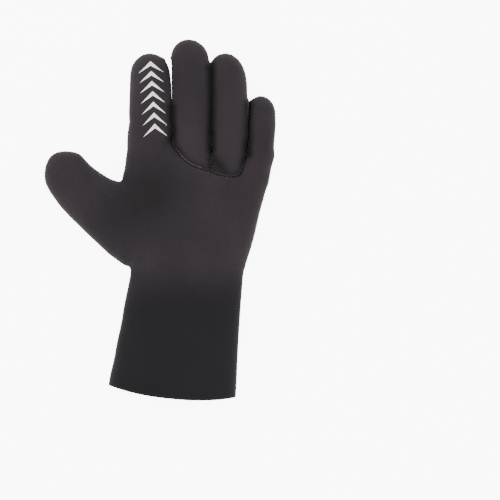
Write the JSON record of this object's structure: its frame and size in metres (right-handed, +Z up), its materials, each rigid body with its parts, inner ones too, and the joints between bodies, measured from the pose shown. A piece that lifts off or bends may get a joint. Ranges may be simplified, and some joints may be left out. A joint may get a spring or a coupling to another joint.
{
  "type": "diving glove",
  "caption": "Right-hand five-finger diving glove of thick neoprene with a grip-printed palm, white chevrons on the index back and a long gauntlet cuff.",
  "frame": {"origin": "on the flat underside of the palm, under the middle finger's root, where the glove rests", "axes": "+X from the thumb side to the little-finger side, +Y from the hem to the fingertips, +Z up out of the back of the hand"},
  "size_m": [0.2083, 0.3244, 0.0405],
  "materials": {
    "smooth_neoprene": "charcoal jersey-faced foamed neoprene, matt",
    "grip_neoprene": "charcoal neoprene with a raised grey dot print in hexagons",
    "white_print": "white rubbery print",
    "grip_print": "grey raised grip dots",
    "thread": "dark sewing thread"
  },
  "bodies": {
    "root": {"glove_body": "smooth_neoprene", "palm_panel": "grip_neoprene", "middle_finger_back": "smooth_neoprene", "ring_finger_back": "smooth_neoprene", "fork_gusset": "smooth_neoprene", "chevron_1": "white_print", "chevron_2": "white_print", "chevron_3": "white_print", "chevron_4": "white_print", "chevron_5": "white_print", "chevron_6": "white_print", "chevron_7": "white_print"}
  },
  "joints": []
}
